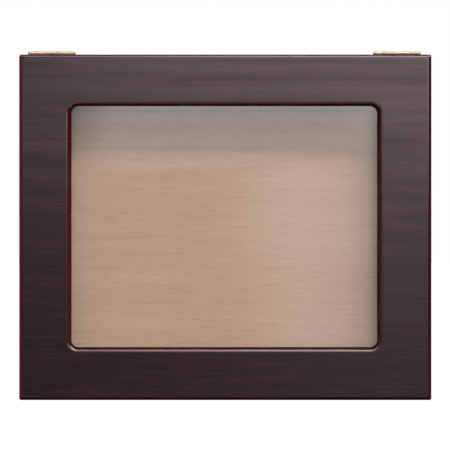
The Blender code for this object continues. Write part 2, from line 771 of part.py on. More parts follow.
def hang_door(collection):
    """Parents every door piece to an empty on the hinge axis."""
    pivot = bpy.data.objects.new("door_pivot", None)
    pivot.location = (0.0, AXIS_Y, AXIS_Z)
    collection.objects.link(pivot)
    bpy.context.view_layer.update()
    starts = ("door_", "acrylic_", "glazing_", "strike_")
    for obj in collection.objects:
        on_door = obj.name.startswith(starts) or "_door_" in obj.name
        if obj.type == "MESH" and on_door:
            obj.parent = pivot
            obj.matrix_parent_inverse = pivot.matrix_world.inverted()


def main():
    clear_scene()
    collection = new_collection(OBJECT_COLLECTION)
    new_collection(CUTTER_COLLECTION)
    materials = make_materials()
    brass_screw = screw_mesh("brass_screw", materials["brass"])
    zinc_screw = screw_mesh("zinc_screw", materials["zinc"])

    boards = make_boards(collection, materials["veneer"])
    cut_hinge_seats(boards["box_top"], BOX_FRONT_Y, 1, "case")
    cut_magnet_pockets(boards["box_bottom"])
    make_back_panel(collection, materials["bare_wood"])
    make_magnets_and_bumpers(collection, materials)
    for side, sign in SIDES:
        cut_hanger_pocket(boards["box_" + side], side, sign)
        make_hanger(side, sign, collection, materials["zinc"])
        for number, place in enumerate(hanger_screw_places(sign), start=1):
            put_screw(f"hanger_screw_{side}_{number}", zinc_screw, place, (0, -1, 0), collection)

    make_door_panel(collection, materials["veneer"])
    make_pane(collection, materials["acrylic"])
    make_strips(collection, materials["strip"])
    make_brads(collection, materials["brass"])
    make_strikes(collection, materials["zinc"])
    for side, sign in SIDES:
        put_screw("strike_screw_" + side, zinc_screw, strike_face(sign), (0, -1, 0), collection)

    make_hinges(collection, materials, brass_screw)
    hang_door(collection)


main()
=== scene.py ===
"""Jersey display frame, the looks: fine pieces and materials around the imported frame.

Everything is in metres in the frame's own axes: +Z up, +Y into the wall, the door's face looks along -Y.
The CAD solids stay as they are. Each is hidden by a finer piece of the same size that rides on its body.
Colours are linear RGB.
"""

import functools
import math

import bmesh
import bpy
from mathutils import Matrix, Vector


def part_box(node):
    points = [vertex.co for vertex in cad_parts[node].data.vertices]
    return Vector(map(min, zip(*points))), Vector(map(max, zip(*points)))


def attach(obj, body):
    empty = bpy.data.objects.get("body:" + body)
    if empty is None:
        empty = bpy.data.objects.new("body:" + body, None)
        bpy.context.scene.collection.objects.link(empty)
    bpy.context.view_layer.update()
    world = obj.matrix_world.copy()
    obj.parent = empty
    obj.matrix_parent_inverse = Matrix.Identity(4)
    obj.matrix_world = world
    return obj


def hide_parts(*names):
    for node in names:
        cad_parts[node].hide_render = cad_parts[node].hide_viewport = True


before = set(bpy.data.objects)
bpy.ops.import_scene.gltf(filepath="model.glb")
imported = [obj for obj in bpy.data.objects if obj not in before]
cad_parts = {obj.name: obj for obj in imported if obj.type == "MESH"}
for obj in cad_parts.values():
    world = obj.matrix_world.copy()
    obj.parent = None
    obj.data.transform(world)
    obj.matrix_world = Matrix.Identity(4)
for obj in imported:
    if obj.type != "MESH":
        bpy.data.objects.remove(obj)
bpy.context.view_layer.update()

# Places read from the frame
DOOR_LOW, DOOR_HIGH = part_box("door_panel")
PANE_LOW, PANE_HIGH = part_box("acrylic_pane")
BACK_LOW, BACK_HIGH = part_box("back_panel")
TOP_LOW, TOP_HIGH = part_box("box_top")
BOTTOM_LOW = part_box("box_bottom")[0]
DOOR_MIDDLE = (DOOR_LOW + DOOR_HIGH) / 2
HALF_WIDTH = (DOOR_HIGH.x - DOOR_LOW.x) / 2
HALF_DOOR = (DOOR_HIGH.z - DOOR_LOW.z) / 2
FRONT, REAR = DOOR_LOW.y, DOOR_HIGH.y
BOX_FRONT, WALL = TOP_LOW.y, TOP_HIGH.y
BOARD = TOP_HIGH.z - TOP_LOW.z
BOX_MIDDLE = (TOP_HIGH.z + BOTTOM_LOW.z) / 2
HALF_BOX = (TOP_HIGH.z - BOTTOM_LOW.z) / 2
FLOOR = BOTTOM_LOW.z

# Door profile: LIP is the lip's width outside the clear window, SHOULDER the depth where the pane rests,
# FACE_ROUND the radius of the outer round-over and EASED that of small edges
RABBET = 0.007
PANE_PLAY = 0.0003
WINDOW_MIDDLE = (PANE_LOW + PANE_HIGH) / 2
HALF_WINDOW_X = (PANE_HIGH.x - PANE_LOW.x) / 2 - RABBET + PANE_PLAY
HALF_WINDOW_Z = (PANE_HIGH.z - PANE_LOW.z) / 2 - RABBET + PANE_PLAY
WINDOW_CORNER = 0.011
LIP = 0.0065
LIP_ROUND = 0.0044
LIP_SLOPE = math.radians(64.5)
SHOULDER = FRONT + 0.010
FLAT_RIM = 0.0002
FACE_ROUND = 0.0057
OUTER_CORNER = 0.003
FACE_CORNER = 0.0042
EASED = 0.0006
CORNER_STEPS, FACE_STEPS, LIP_STEPS, EASED_STEPS = 16, 12, 8, 3

# Case boards
BOARD_EASED = 0.0012
MITRE_GAP = 0.00006
GROOVE = 0.004
GROOVE_PLAY = 0.00015
SEAT_PLAY = 0.0003
HINGE_SEAT = 0.0010

# Room behind a hanger plate for the head of the wall's screw
ROOM_HALF_X, ROOM_DEPTH, ROOM_HALF_Z = 0.0048, 0.0042, 0.0098

SIDES = ("left", "right")


# ---------------------------------------------------------------- node trees


class Graph:
    """A node tree with short calls that add nodes and link them."""

    def __init__(self, tree):
        self.tree = tree

    def add(self, kind, inputs=None, **settings):
        """A new node. inputs are sockets or values by input name, settings are the node's own properties."""
        node = self.tree.nodes.new(kind)
        for key, value in settings.items():
            setattr(node, key, value)
        for key, value in (inputs or {}).items():
            self.put(node.inputs[key], value)
        return node

    def put(self, socket, value):
        """Links value to the socket if it is a socket too, or sets it."""
        if isinstance(value, bpy.types.NodeSocket):
            self.tree.links.new(value, socket)
        else:
            socket.default_value = value

    def math(self, operation, a, b=0.0, c=0.0):
        return self.add("ShaderNodeMath", {0: a, 1: b, 2: c}, operation=operation).outputs[0]

    def vector(self, operation, a, b):
        return self.add("ShaderNodeVectorMath", {0: a, 1: b}, operation=operation).outputs[0]

    def sum(self, *parts):
        return functools.reduce(functools.partial(self.math, "ADD"), parts)

    def product(self, *parts):
        return functools.reduce(functools.partial(self.math, "MULTIPLY"), parts)

    def ramp(self, value, low, high, start=0.0, end=1.0):
        """Eased from start where value is low to end where it is high, flat outside."""
        inputs = {"Value": value, "From Min": low, "From Max": high, "To Min": start, "To Max": end}
        node = self.add("ShaderNodeMapRange", inputs, interpolation_type="SMOOTHSTEP")
        return node.outputs[0]

    def between(self, value, edges):
        """1 between two soft edges, 0 outside. edges says where the rise and the fall start and end."""
        return self.product(self.ramp(value, *edges[:2]), self.ramp(value, *edges[2:], 1.0, 0.0))

    def steps(self, value, start, *changes):
        """start, plus a smooth step for each change (low, high, amount)."""
        return self.sum(start, *(self.ramp(value, low, high, 0.0, amount) for low, high, amount in changes))

    def mix(self, factor, a, b, blend="MIX"):
        """A mix of two colours, each a socket or three numbers."""
        node = self.add("ShaderNodeMix", data_type="RGBA", blend_type=blend)
        for socket, value in ((node.inputs[0], factor), (node.inputs[6], a), (node.inputs[7], b)):
            self.put(socket, (*value, 1.0) if isinstance(value, tuple) else value)
        return node.outputs[2]

    def shaded(self, colour, value):
        """colour times value."""
        grey = self.add("ShaderNodeCombineColor", {0: value, 1: value, 2: value}).outputs[0]
        return self.mix(1.0, colour, grey, "MULTIPLY")

    def split(self, vector):
        """The X, Y and Z of vector."""
        return tuple(self.add("ShaderNodeSeparateXYZ", {0: vector}).outputs)

    def noise(self, vector, cells, detail=2.0, roughness=0.5):
        """Soft noise from 0 to 1, with so many cells a metre along X, Y and Z."""
        scaled = self.vector("MULTIPLY", vector, cells)
        inputs = {"Vector": scaled, "Scale": 1.0, "Detail": detail, "Roughness": roughness}
        return self.add("ShaderNodeTexNoise", inputs).outputs["Fac"]

    def bump(self, height, distance, strength=1.0, normal=None):
        inputs = {"Height": height, "Distance": distance, "Strength": strength}
        if normal is not None:
            inputs["Normal"] = normal
        return self.add("ShaderNodeBump", inputs).outputs[0]


def material(name):
    """A new material, its graph and its Principled shader."""
    made = bpy.data.materials.new(name)
    made.use_nodes = True
    graph = Graph(made.node_tree)
    return made, graph, made.node_tree.nodes["Principled BSDF"]


def shader_values(shader, **values):
    """Sets the shader's own sockets, named with underscores for spaces."""
    for key, value in values.items():
        shader.inputs[key.replace("_", " ")].default_value = value


def piece_coordinates(graph, along="X"):
    """The piece's own coordinates with the grain along X, in metres."""
    coordinates = graph.add("ShaderNodeTexCoord").outputs["Object"]
    if along == "X":
        return coordinates
    x, y, z = graph.split(coordinates)
    return graph.add("ShaderNodeCombineXYZ", {0: z, 1: y, 2: x}).outputs[0]


# ---------------------------------------------------------------- materials


def wood_grain(graph, coordinates, shift=(0.0, 0.0, 0.0), figure=0.010):
    """Grain patterns along X: (broad bands, streaks, fine fibres, pores), each from 0 to 1."""
    placed = graph.vector("ADD", coordinates, shift)
    slow = graph.noise(placed, (3.4, 3.4, 9.0), detail=2.0)
    rise = graph.product(graph.math("SUBTRACT", slow, 0.5), 2 * figure)
    lift = graph.add("ShaderNodeCombineXYZ", {2: rise}).outputs[0]
    bent = graph.vector("ADD", placed, lift)
    bands = graph.noise(bent, (2.4, 40.0, 58.0), detail=3.0, roughness=0.6)
    streaks = graph.noise(bent, (8.0, 90.0, 190.0), detail=4.0, roughness=0.6)
    fibres = graph.noise(bent, (24.0, 400.0, 900.0), detail=4.0, roughness=0.65)
    pores = graph.noise(bent, (85.0, 900.0, 3200.0), detail=1.0)
    return bands, streaks, fibres, pores


def veneer_material(name, along, dull, purple, rosy, satin, shift=(0.0, 0.0, 0.0)):
    """Dark stained veneer under a satin lacquer that half fills the pores."""
    made, graph, shader = material(name)
    bands, streaks, fibres, pores = wood_grain(graph, piece_coordinates(graph, along), shift)
    tone = graph.mix(graph.ramp(bands, 0.34, 0.66), dull, purple)
    tone = graph.mix(graph.ramp(streaks, 0.44, 0.66), tone, rosy)
    fine = graph.ramp(fibres, 0.28, 0.72, 0.52, 1.48)
    broad = graph.ramp(bands, 0.3, 0.7, 1.4, 0.6)
    specks = graph.ramp(pores, 0.28, 0.44, 0.62, 1.0)
    tone = graph.shaded(tone, graph.product(fine, broad, specks))
    graph.put(shader.inputs["Base Color"], tone)
    graph.put(shader.inputs["Roughness"], graph.ramp(bands, 0.3, 0.7, satin - 0.04, satin + 0.07))
    pitted = graph.bump(specks, 0.00003, 0.5)
    graph.put(shader.inputs["Normal"], graph.bump(fibres, 0.00001, 0.4, pitted))
    shader_values(shader, Coat_Weight=0.22, Coat_Roughness=0.17, Coat_IOR=1.5)
    shader_values(shader, Specular_IOR_Level=0.42, Specular_Tint=(1.0, 0.68, 0.76, 1.0))
    return made


def lacquer_base(name, dark, bright):
    """Stain and lacquer over routed wood, in clouds and fine fibres: (material, graph, shader, colour)."""
    made, graph, shader = material(name)
    coordinates = piece_coordinates(graph)
    cloud = graph.noise(coordinates, (26.0, 90.0, 26.0), detail=3.0)
    fibres = graph.noise(coordinates, (160.0, 900.0, 160.0))
    waves = graph.noise(coordinates, (70.0, 120.0, 70.0))
    tone = graph.mix(graph.ramp(cloud, 0.3, 0.7), dark, bright)
    tone = graph.shaded(tone, graph.ramp(fibres, 0.35, 0.75, 1.0, 0.72))
    graph.put(shader.inputs["Roughness"], graph.ramp(cloud, 0.3, 0.7, 0.40, 0.30))
    graph.put(shader.inputs["Coat Normal"], graph.bump(waves, 0.00005, 0.5))
    shader_values(shader, Specular_IOR_Level=0.0)
    return made, graph, shader, tone


def edge_material():
    """Gloss lacquer of the outer edges, its coat thinner on the crests at the top and the sides. A lighter
    red is painted on these crests, most on the left: painted light.
    """
    dark, bright, crest_painted_light = (0.022, 0.0022, 0.0070), (0.036, 0.0040, 0.0105), (0.210, 0.0130, 0.0340)
    made, graph, shader, tone = lacquer_base("burgundy_edge", dark, bright)
    x, _, z = graph.split(piece_coordinates(graph))
    # Painted light: lighter red mixed onto the crests, fully on the left, partly at the top and a little on
    # the right.
    left = graph.ramp(x, -HALF_WIDTH + 0.0016, -HALF_WIDTH + 0.0046, 1.0, 0.0)
    right = graph.ramp(x, HALF_WIDTH - 0.0024, HALF_WIDTH - 0.0004, 0.0, 0.3)
    top_crest = (DOOR_HIGH.z - 0.0016, DOOR_HIGH.z - 0.0004)
    top = graph.ramp(z, *top_crest, 0.0, 0.7)
    graph.put(shader.inputs["Base Color"], graph.mix(graph.sum(left, right, top), tone, crest_painted_light))
    coat_sides = graph.ramp(graph.math("ABSOLUTE", x), HALF_WIDTH - 0.0052, HALF_WIDTH - 0.0030, 0.9, 0.5)
    coat_top = graph.ramp(z, *top_crest, 1.0, 0.3)
    graph.put(shader.inputs["Coat Weight"], graph.product(coat_sides, coat_top))
    shader_values(shader, Coat_Roughness=0.14, Coat_IOR=1.65)
    return made


def lip_material():
    """Gloss lacquer of the rounded lip. A lighter red is painted where it leaves the face, most of all along
    the top, where the lip faces down: painted light.
    """
    dark, bright, wear_and_painted_light = (0.036, 0.0028, 0.0024), (0.056, 0.0046, 0.0040), (0.190, 0.064, 0.064)
    made, graph, shader, tone = lacquer_base("burgundy_lip", dark, bright)
    _, y, z = graph.split(piece_coordinates(graph))
    # Painted light: lighter red near the face along the top lip, faint on the sides.
    head = WINDOW_MIDDLE.z + HALF_WINDOW_Z
    along_top = graph.ramp(z, head - 0.004, head + 0.001, 0.03, 1.0)
    painted_light_mask = graph.product(graph.ramp(y, FRONT + 0.0006, FRONT + 0.0028, 1.0, 0.0), along_top)
    graph.put(shader.inputs["Base Color"], graph.mix(painted_light_mask, tone, wear_and_painted_light))
    shader_values(shader, Coat_Weight=1.0, Coat_Roughness=0.10, Coat_IOR=1.7)
    return made


def hollow_material():
    """The unpolished slope inside the lip, its colour darkened towards the pane and along the bottom of the
    window: painted shade.
    """
    dark, bright = (0.044, 0.0030, 0.0022), (0.066, 0.0048, 0.0038)
    made, graph, shader, tone = lacquer_base("burgundy_hollow", dark, bright)
    _, y, z = graph.split(piece_coordinates(graph))
    foot = WINDOW_MIDDLE.z - HALF_WINDOW_Z
    # Painted shade: darker deeper in the lip, towards the pane, and near the window's bottom edge.
    depth = graph.ramp(y, FRONT + 0.0050, SHOULDER, 1.0, 0.35)
    painted_shade_bottom = graph.ramp(z, foot + 0.0005, foot + 0.0100, 0.42, 1.0)
    graph.put(shader.inputs["Base Color"], graph.shaded(tone, graph.product(depth, painted_shade_bottom)))
    shader_values(shader, Coat_Weight=0.15, Coat_Roughness=0.20, Coat_IOR=1.5)
    return made


def back_panel_material():
    """Pale natural veneer, unlacquered, with short fine dark fibres."""
    made, graph, shader = material("natural_veneer")
    coordinates = piece_coordinates(graph)
    bands, streaks, fibres, pores = wood_grain(graph, coordinates, (3.1, 0.0, 1.7), figure=0.005)
    fine = graph.noise(coordinates, (44.0, 400.0, 760.0), detail=3.0, roughness=0.6)
    ticks = graph.noise(graph.vector("ADD", coordinates, (0.7, 0.2, 0.4)), (40.0, 400.0, 620.0))
    tone = graph.mix(graph.ramp(bands, 0.3, 0.7), (0.580, 0.372, 0.277), (0.612, 0.398, 0.298))
    tone = graph.mix(graph.ramp(streaks, 0.42, 0.72, 0.0, 0.30), tone, (0.540, 0.335, 0.243))
    tone = graph.shaded(tone, graph.ramp(fine, 0.28, 0.72, 0.95, 1.045))
    tone = graph.mix(graph.ramp(ticks, 0.60, 0.76, 0.0, 0.32), tone, (0.300, 0.170, 0.115))
    graph.put(shader.inputs["Base Color"], tone)
    graph.put(shader.inputs["Roughness"], graph.ramp(fibres, 0.3, 0.7, 0.66, 0.56))
    relief = graph.bump(ticks, 0.00005, 0.4)
    graph.put(shader.inputs["Normal"], graph.bump(pores, 0.00003, 0.4, relief))
    shader_values(shader, Specular_IOR_Level=0.25)
    return made


# Share of the light that the pane mirrors head-on. At a glancing angle it mirrors all of it
ACRYLIC_SHINE = 0.0387
ACRYLIC_TINT = (0.985, 0.990, 0.988, 1.0)
DUST_COLOUR = (0.8, 0.8, 0.8, 1.0)


def acrylic_material():
    """Clear acrylic: a mirror-smooth skin over clear sheet, with a breath of dust."""
    made, graph, shader = material("clear_acrylic")
    coordinates = piece_coordinates(graph)
    made.node_tree.nodes.remove(shader)
    shine = graph.add("ShaderNodeBsdfGlossy", {"Roughness": 0.0}).outputs[0]
    clear = graph.add("ShaderNodeBsdfTransparent", {"Color": ACRYLIC_TINT}).outputs[0]
    dust = graph.add("ShaderNodeBsdfDiffuse", {"Color": DUST_COLOUR}).outputs[0]
    facing = graph.add("ShaderNodeLayerWeight", {"Blend": 0.5}).outputs["Facing"]
    slant = graph.math("POWER", facing, 5.0)
    mirrored = graph.math("MULTIPLY_ADD", slant, 1.0 - ACRYLIC_SHINE, ACRYLIC_SHINE)
    specks = graph.ramp(graph.noise(coordinates, (900.0, 900.0, 900.0)), 0.5, 0.8)
    cloud = graph.ramp(graph.noise(coordinates, (11.0, 11.0, 11.0), detail=3.0), 0.3, 0.8, 0.002, 0.007)
    sheet = graph.add("ShaderNodeMixShader", {0: mirrored, 1: clear, 2: shine}).outputs[0]
    both = graph.add("ShaderNodeMixShader", {0: graph.product(specks, cloud), 1: sheet, 2: dust}).outputs[0]
    graph.put(made.node_tree.nodes["Material Output"].inputs["Surface"], both)
    return made


def metal_material(name, colour, wear_and_painted_light, rough, scale):
    """Metal with fine scratches, cloudy tarnish and slight polish variation. scale is its clouds a metre."""
    made, graph, shader = material(name)
    coordinates = piece_coordinates(graph)
    cloud = graph.noise(coordinates, (scale, scale, scale), detail=4.0)
    scratches = (scale * 2.0, scale * 14.0, scale * 14.0)
    marks = graph.noise(coordinates, scratches, detail=3.0, roughness=0.7)
    tone = graph.mix(graph.ramp(cloud, 0.40, 0.75, 0.0, 0.6), colour, wear_and_painted_light)
    graph.put(shader.inputs["Base Color"], tone)
    graph.put(shader.inputs["Roughness"], graph.ramp(marks, 0.3, 0.75, rough, rough + 0.16))
    graph.put(shader.inputs["Normal"], graph.bump(marks, 0.00002, 0.35))
    shader_values(shader, Metallic=1.0)
    return made


def felt_material():
    """Black felt with a loose nap."""
    made, graph, shader = material("black_felt")
    fuzz = graph.noise(piece_coordinates(graph), (2600.0, 2600.0, 2600.0), detail=3.0, roughness=0.7)
    tone = graph.mix(graph.ramp(fuzz, 0.3, 0.7), (0.012, 0.012, 0.013), (0.045, 0.044, 0.043))
    graph.put(shader.inputs["Base Color"], tone)
    graph.put(shader.inputs["Normal"], graph.bump(fuzz, 0.0001, 0.8))
    shader_values(shader, Roughness=0.95, Sheen_Weight=0.5, Sheen_Roughness=0.5, Specular_IOR_Level=0.2)
    return made


def make_materials():
    """All materials by short name."""
    face = {
        "dull": (0.0104, 0.0076, 0.0062),
        "purple": (0.0130, 0.0050, 0.0086),
        "rosy": (0.0212, 0.0080, 0.0094),
    }
    board = {
        "dull": (0.0220, 0.0080, 0.0065),
        "purple": (0.0280, 0.0085, 0.0085),
        "rosy": (0.0420, 0.0105, 0.0090),
    }
    return {
        "face": veneer_material("mahogany_face", "X", satin=0.23, **face),
        "edge": edge_material(),
        "lip": lip_material(),
        "hollow": hollow_material(),
        "board_x": veneer_material("mahogany_board_x", "X", satin=0.30, shift=(0.4, 0.0, 0.2), **board),
        "board_z": veneer_material("mahogany_board_z", "Z", satin=0.30, shift=(0.7, 0.0, 0.9), **board),
        "strip_x": veneer_material("stained_strip_x", "X", satin=0.36, shift=(1.4, 0.3, 0.6), **board),
        "strip_z": veneer_material("stained_strip_z", "Z", satin=0.36, shift=(1.9, 0.3, 0.4), **board),
        "back": back_panel_material(),
        "acrylic": acrylic_material(),
        "brass": metal_material("brass_plate", (0.52, 0.48, 0.32), (0.40, 0.34, 0.21), 0.58, 160.0),
        "zinc": metal_material("zinc_plate", (0.66, 0.67, 0.69), (0.48, 0.49, 0.50), 0.30, 140.0),
        "nickel": metal_material("nickel_plate", (0.72, 0.70, 0.66), (0.58, 0.56, 0.52), 0.14, 180.0),
        "felt": felt_material(),
    }


# ---------------------------------------------------------------- mesh helpers


def turns(angle, steps):
    """Angles from 0 to angle in even steps."""
    return [angle * step / steps for step in range(steps + 1)]


def arc(centre, radius, start, angle, steps):
    """Points along an arc in a plane, from the direction start through angle."""
    ways = [start + turn for turn in turns(angle, steps)]
    return [(centre[0] + radius * math.cos(way), centre[1] + radius * math.sin(way)) for way in ways]


def middle_of(node):
    """The middle of the CAD node's box."""
    low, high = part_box(node)
    return (low + high) / 2


def rounded_rectangle(half_x, half_z, radius, centre=(0.0, 0.0), steps=CORNER_STEPS):
    """Counter-clockwise points (x, z) of a rectangle whose corners are arcs."""
    points = []
    for turn, (sign_x, sign_z) in enumerate(((1, 1), (-1, 1), (-1, -1), (1, -1))):
        corner = (centre[0] + sign_x * (half_x - radius), centre[1] + sign_z * (half_z - radius))
        points += arc(corner, radius, math.pi / 2 * turn, math.pi / 2, steps)
    return points


def ring_faces(bm, first, second):
    """Quads between two closed rings of equally many vertices."""
    count = len(first)
    corners = [(i, (i + 1) % count) for i in range(count)]
    return [bm.faces.new((first[i], first[j], second[j], second[i])) for i, j in corners]


def loft(bm, loops, cap_start=False, cap_end=False, close=False):
    """Joins loops of equally many points with quads and returns one list of faces per band."""
    rows = [[bm.verts.new(point) for point in loop] for loop in loops]
    pairs = list(zip(rows, rows[1:])) + ([(rows[-1], rows[0])] if close else [])
    bands = [ring_faces(bm, first, second) for first, second in pairs]
    if cap_start:
        bm.faces.new(list(reversed(rows[0])))
    if cap_end:
        bm.faces.new(rows[-1])
    return bands


def finished(name, bm, materials, sharp=30.0):
    """The object of bm, facing out, shaded smooth below the sharp angle in degrees."""
    bmesh.ops.recalc_face_normals(bm, faces=bm.faces)
    mesh = bpy.data.meshes.new(name)
    bm.to_mesh(mesh)
    bm.free()
    obj = bpy.data.objects.new(name, mesh)
    bpy.context.scene.collection.objects.link(obj)
    for item in materials:
        mesh.materials.append(item)
    mesh.shade_smooth()
    mesh.set_sharp_from_angle(angle=math.radians(sharp))
    return obj


def apply_modifiers(obj):
    """Replaces obj's mesh with its evaluated one."""
    bpy.context.view_layer.update()
    graph = bpy.context.evaluated_depsgraph_get()
    old, name = obj.data, obj.data.name
    obj.data = bpy.data.meshes.new_from_object(obj.evaluated_get(graph))
    obj.modifiers.clear()
    bpy.data.meshes.remove(old)
    obj.data.name = name


def flat_broad_faces(obj):
    """Turns the shading normals so that broad faces look flat and only their rounded edges bend."""
    obj.modifiers.new("normals", "WEIGHTED_NORMAL").keep_sharp = True
    apply_modifiers(obj)


def combine(obj, bm, operation="DIFFERENCE", sharp=30.0):
    """Cuts the shape in bm from obj, or joins it to obj."""
    tool = finished(obj.name + "_tool", bm, list(obj.data.materials)[:1])
    modifier = obj.modifiers.new("combine", "BOOLEAN")
    modifier.operation = operation
    modifier.solver = "EXACT"
    modifier.object = tool
    apply_modifiers(obj)
    obj.data.shade_smooth()
    obj.data.set_sharp_from_angle(angle=math.radians(sharp))
    mesh = tool.data
    bpy.data.objects.remove(tool)
    bpy.data.meshes.remove(mesh)


def slab_into(bm, outlines, low_y, high_y, bevel=0.0, steps=3):
    """A flat piece of outline outlines(inset), from low_y to high_y, with rounded edges of radius bevel."""
    loops = []
    if bevel == 0.0:
        insets = [(0.0, low_y), (0.0, high_y)]
    else:
        rounding = [(bevel * (1 - math.sin(t)), bevel * (1 - math.cos(t))) for t in turns(math.pi / 2, steps)]
        insets = [(inset, low_y + depth) for inset, depth in rounding]
        insets += [(inset, high_y - depth) for inset, depth in reversed(rounding)]
    for inset, y in insets:
        loops.append([(x, y, z) for x, z in outlines(inset)])
    loft(bm, loops, cap_start=True, cap_end=True)


def box_into(bm, low, high, bevel=0.0):
    """A box between two corners, its Y-facing edges and corners rounded by bevel."""
    low, high = Vector(low), Vector(high)
    middle, half = (low + high) / 2, (high - low) / 2
    corner = max(bevel, 1e-5)

    def outline(inset):
        return rounded_rectangle(half.x - inset, half.z - inset, corner, (middle.x, middle.z), 3)

    slab_into(bm, outline, low.y, high.y, bevel)


def turned_into(bm, profile, segments, matrix=None):
    """A solid turned about Z from (radius, z) points that run from one end on the axis to the other."""
    rings = []
    for radius, z in profile[1:-1]:
        angles = [2 * math.pi * i / segments for i in range(segments)]
        rings.append([bm.verts.new((radius * math.cos(a), radius * math.sin(a), z)) for a in angles])
    for first, second in zip(rings, rings[1:]):
        ring_faces(bm, first, second)
    bm.faces.new(rings[0])
    bm.faces.new(list(reversed(rings[-1])))
    if matrix is not None:
        bmesh.ops.transform(bm, matrix=matrix, verts=[v for ring in rings for v in ring])


def round_seat_into(bm, node, near, far):
    """A round recess for the node, along Y from near to far."""
    low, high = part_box(node)
    middle, radius = (low + high) / 2, (high.x - low.x) / 2 + SEAT_PLAY
    place = Matrix.Translation((middle.x, 0.0, middle.z)) @ Matrix.Rotation(-math.pi / 2, 4, "X")
    turned_into(bm, [(0.0, near), (radius, near), (radius, far), (0.0, far)], 48, place)


def aimed(place, direction):
    """A matrix that takes the origin to place and local +Z to direction."""
    turn = Vector(direction).to_track_quat("Z", "Y").to_matrix().to_4x4()
    return Matrix.Translation(place) @ turn


def turned_piece(node, item, profile, segments, sharp, place):
    """A fine piece for the node, turned from profile and put at the matrix place."""
    bm = bmesh.new()
    turned_into(bm, profile, segments)
    piece = finished(node + "_fine", bm, [item], sharp)
    piece.matrix_world = place
    return piece


def stands_for(piece, node, body, flat=True):
    """piece replaces the CAD node and rides on the body. With flat, its broad faces look flat."""
    if flat:
        flat_broad_faces(piece)
    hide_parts(node)
    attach(piece, body)


# ---------------------------------------------------------------- door


def door_rows():
    """The door's cross-section as rows (y, out, outline, finish of the band that follows).

    out is how far the row lies outside its outline, which is the door's outer one or the window's.
    """
    rows = []
    for turn in turns(math.pi / 2, EASED_STEPS):
        inset = EASED * (1 - math.sin(turn))
        rows.append((REAR - EASED * (1 - math.cos(turn)), -inset, "outer", "edge"))
    for turn in turns(math.pi / 2, FACE_STEPS):
        inset = FACE_ROUND * (1 - math.cos(turn))
        rows.append((FRONT + FACE_ROUND * (1 - math.sin(turn)), -inset, "outer", "edge"))
    rows.append((FRONT, -FACE_ROUND - FLAT_RIM, "outer", "face"))
    rows.append((FRONT, LIP + FLAT_RIM, "window", "face"))
    finishes = ["face"] + ["lip"] * (LIP_STEPS - 1) + ["hollow"]
    for turn, finish in zip(turns(LIP_SLOPE, LIP_STEPS), finishes):
        depth, out = LIP_ROUND * (1 - math.cos(turn)), LIP - LIP_ROUND * math.sin(turn)
        rows.append((FRONT + depth, out, "window", finish))
    slope_y, slope_out = rows[-1][:2]
    foot_y = slope_y + slope_out * math.tan(LIP_SLOPE)
    inside = [
        (foot_y - EASED, slope_out * EASED / (foot_y - slope_y)),
        (foot_y + EASED / 2, 0.0),
        (SHOULDER - EASED / 2, 0.0),
        (SHOULDER, EASED / 2),
        (SHOULDER, RABBET),
        (REAR - EASED / 2, RABBET),
    ]
    rows += [(y, out, "window", "hollow") for y, out in inside]
    rows.append((REAR, RABBET + EASED / 2, "window", "board_x"))
    return rows


def make_door_panel(materials):
    """One board with a routed window. Its flat front is veneer, the rest is lacquered."""
    rows = door_rows()
    loops = []
    for y, out, outline, _ in rows:
        if outline == "outer":
            share = min(-out / FACE_ROUND, 1.0)
            radius = OUTER_CORNER + (FACE_CORNER - OUTER_CORNER) * share
            points = rounded_rectangle(HALF_WIDTH + out, HALF_DOOR + out, radius, (0.0, DOOR_MIDDLE.z))
        else:
            centre = (WINDOW_MIDDLE.x, WINDOW_MIDDLE.z)
            points = rounded_rectangle(HALF_WINDOW_X + out, HALF_WINDOW_Z + out, WINDOW_CORNER + out, centre)
        loops.append([(x, y, z) for x, z in points])
    bm = bmesh.new()
    bands = loft(bm, loops, close=True)
    finishes = ["face", "edge", "lip", "hollow", "board_x"]
    for band, row in zip(bands, rows):
        for quad in band:
            quad.material_index = finishes.index(row[3])
    panel = finished("door_panel_fine", bm, [materials[key] for key in finishes], 40.0)
    seats = bmesh.new()
    for side in SIDES:
        low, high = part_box(f"hinge_{side}_door_leaf")
        seat_low = (low.x - SEAT_PLAY, low.y - SEAT_PLAY, low.z - SEAT_PLAY)
        box_into(seats, seat_low, (high.x + SEAT_PLAY, REAR + SEAT_PLAY, DOOR_HIGH.z + SEAT_PLAY))
        strike = "strike_" + side
        round_seat_into(seats, strike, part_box(strike)[0].y - SEAT_PLAY, REAR + SEAT_PLAY)
    combine(panel, seats, sharp=40.0)
    stands_for(panel, "door_panel", "door")


def make_pane(materials):
    """The clear sheet in the rabbet."""
    half_x = HALF_WINDOW_X + RABBET - PANE_PLAY
    half_z = HALF_WINDOW_Z + RABBET - PANE_PLAY
    corner = WINDOW_CORNER + RABBET - PANE_PLAY

    def outline(inset):
        centre = (WINDOW_MIDDLE.x, WINDOW_MIDDLE.z)
        return rounded_rectangle(half_x - inset, half_z - inset, corner - inset, centre)

    bm = bmesh.new()
    slab_into(bm, outline, PANE_LOW.y, PANE_HIGH.y, 0.0003, 2)
    pane = finished("acrylic_pane_fine", bm, [materials["acrylic"]])
    stands_for(pane, "acrylic_pane", "door")


def make_strips(materials):
    """Stained strips behind the pane, their edges rounded."""
    for side, key in (("top", "strip_x"), ("bottom", "strip_x"), ("left", "strip_z"), ("right", "strip_z")):
        node = "glazing_strip_" + side
        low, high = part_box(node)
        bm = bmesh.new()
        box_into(bm, low, high, 0.0009)
        stands_for(finished(node + "_fine", bm, [materials[key]]), node, "door")


